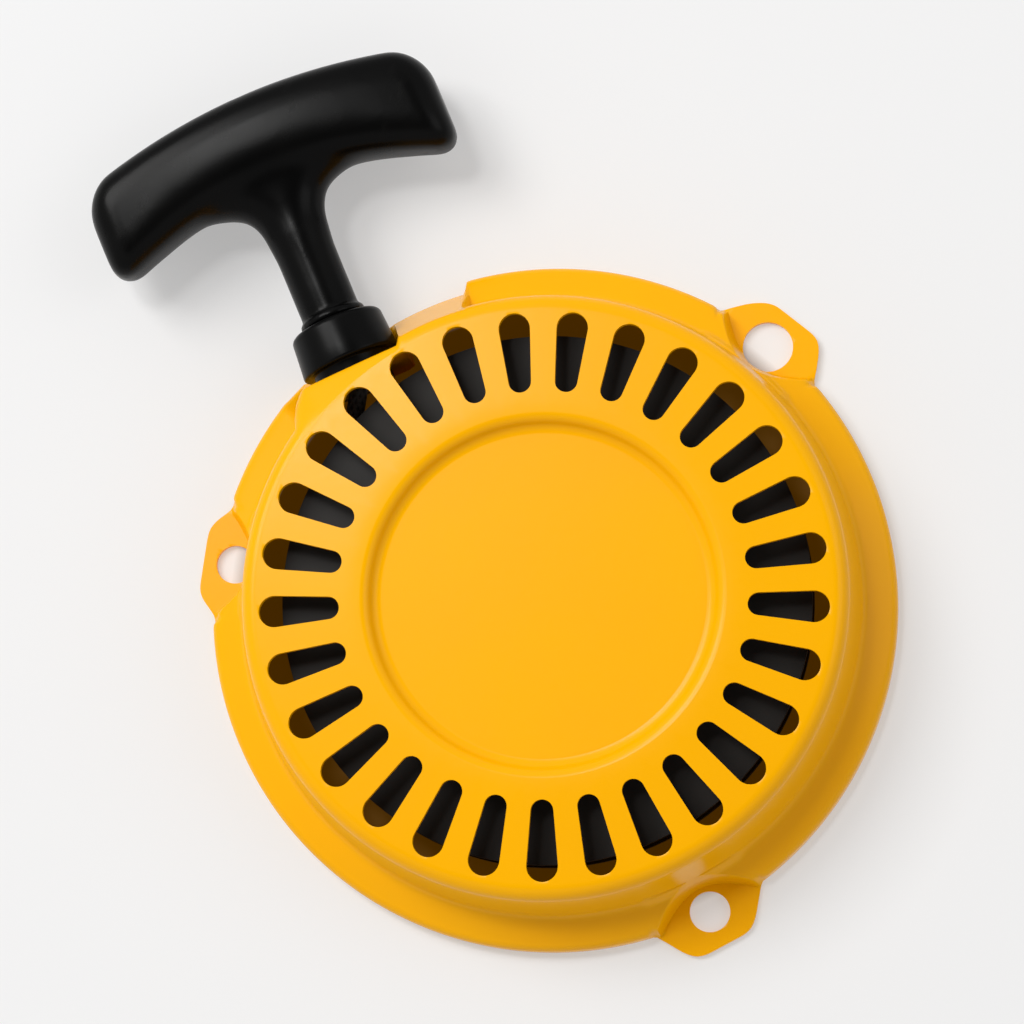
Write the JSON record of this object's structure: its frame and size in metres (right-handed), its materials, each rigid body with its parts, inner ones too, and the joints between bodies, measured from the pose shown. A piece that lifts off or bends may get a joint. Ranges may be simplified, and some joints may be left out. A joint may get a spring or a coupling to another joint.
{
  "type": "recoil starter",
  "caption": "Round pressed-steel recoil starter with a slotted cover, mounting lugs, a spring-returned rope reel, pawls and a black T-handle on a pull rope.",
  "frame": {"origin": "reel axis where it crosses the engine-side face", "axes": "+Z along the reel axis, away from the engine; +X and +Y across the face, with the rope leaving at 111.5 degrees from +X"},
  "size_m": [0.1754, 0.2003, 0.027],
  "materials": {
    "yellow_paint": "satin powder coat",
    "handle_plastic": "semi-gloss black",
    "guide_plastic": "semi-gloss black",
    "reel_nylon": "matt dark grey",
    "zinc_steel": "zinc plated",
    "spring_steel": "blued, oiled",
    "sintered_bronze": "sintered",
    "braided_rope": "braided nylon"
  },
  "bodies": {
    "root": {"starter_housing": "yellow_paint", "reel_post": "zinc_steel", "thrust_washer": "zinc_steel", "rope_run": "braided_rope", "rope_guide": "guide_plastic", "guide_clip": "zinc_steel", "rope_eyelet": "zinc_steel", "retaining_washer": "zinc_steel", "centre_screw": "zinc_steel"},
    "reel": {"rope_reel": "reel_nylon", "reel_bush": "sintered_bronze", "rope_wound": "braided_rope", "rope_reel_knot": "braided_rope", "pawl_pins": "zinc_steel", "pawl_springs": "spring_steel", "recoil_spring": "spring_steel"},
    "plate": {"friction_plate": "zinc_steel", "friction_spring": "spring_steel"},
    "pawl_a": {"pawl_a": "zinc_steel"},
    "pawl_b": {"pawl_b": "zinc_steel"},
    "handle": {"rope_tail": "braided_rope", "handle_grip": "handle_plastic", "handle_insert": "zinc_steel", "rope_handle_knot": "braided_rope"}
  },
  "joints": [
    {"name": "reel_spin", "type": "hinge", "parent": "root", "child": "reel", "pos_m": [0, 0, 0.014], "axis": [0, 0, -1], "range_deg": [0, 1170], "stiffness_Nm_per_rad": 0.02, "springref_deg": -1145.92, "deforming": ["recoil_spring", "rope_wound", "rope_run"]},
    {"name": "handle_pull", "type": "slide", "parent": "root", "child": "handle", "axis": [-0.3665, 0.9304, 0], "range_m": [0, 0.86]},
    {"name": "friction_turn", "type": "hinge", "parent": "reel", "child": "plate", "pos_m": [0, 0, 0.0044], "axis": [0, 0, 1], "range_deg": [0, 30], "stiffness_Nm_per_rad": 0.01},
    {"name": "pawl_a_swing", "type": "hinge", "parent": "reel", "child": "pawl_a", "pos_m": [0.02, 0, 0.007], "axis": [0, 0, 1], "range_deg": [0, 27.2]},
    {"name": "pawl_b_swing", "type": "hinge", "parent": "reel", "child": "pawl_b", "pos_m": [-0.02, 0, 0.007], "axis": [0, 0, 1], "range_deg": [0, 27.2]}
  ],
  "couplings": [
    {"joint": "handle_pull", "follows": "reel_spin", "m_per_rad": 0.0413},
    {"joint": "pawl_a_swing", "follows": "friction_turn", "ratio": 0.9},
    {"joint": "pawl_b_swing", "follows": "friction_turn", "ratio": 0.9}
  ]
}
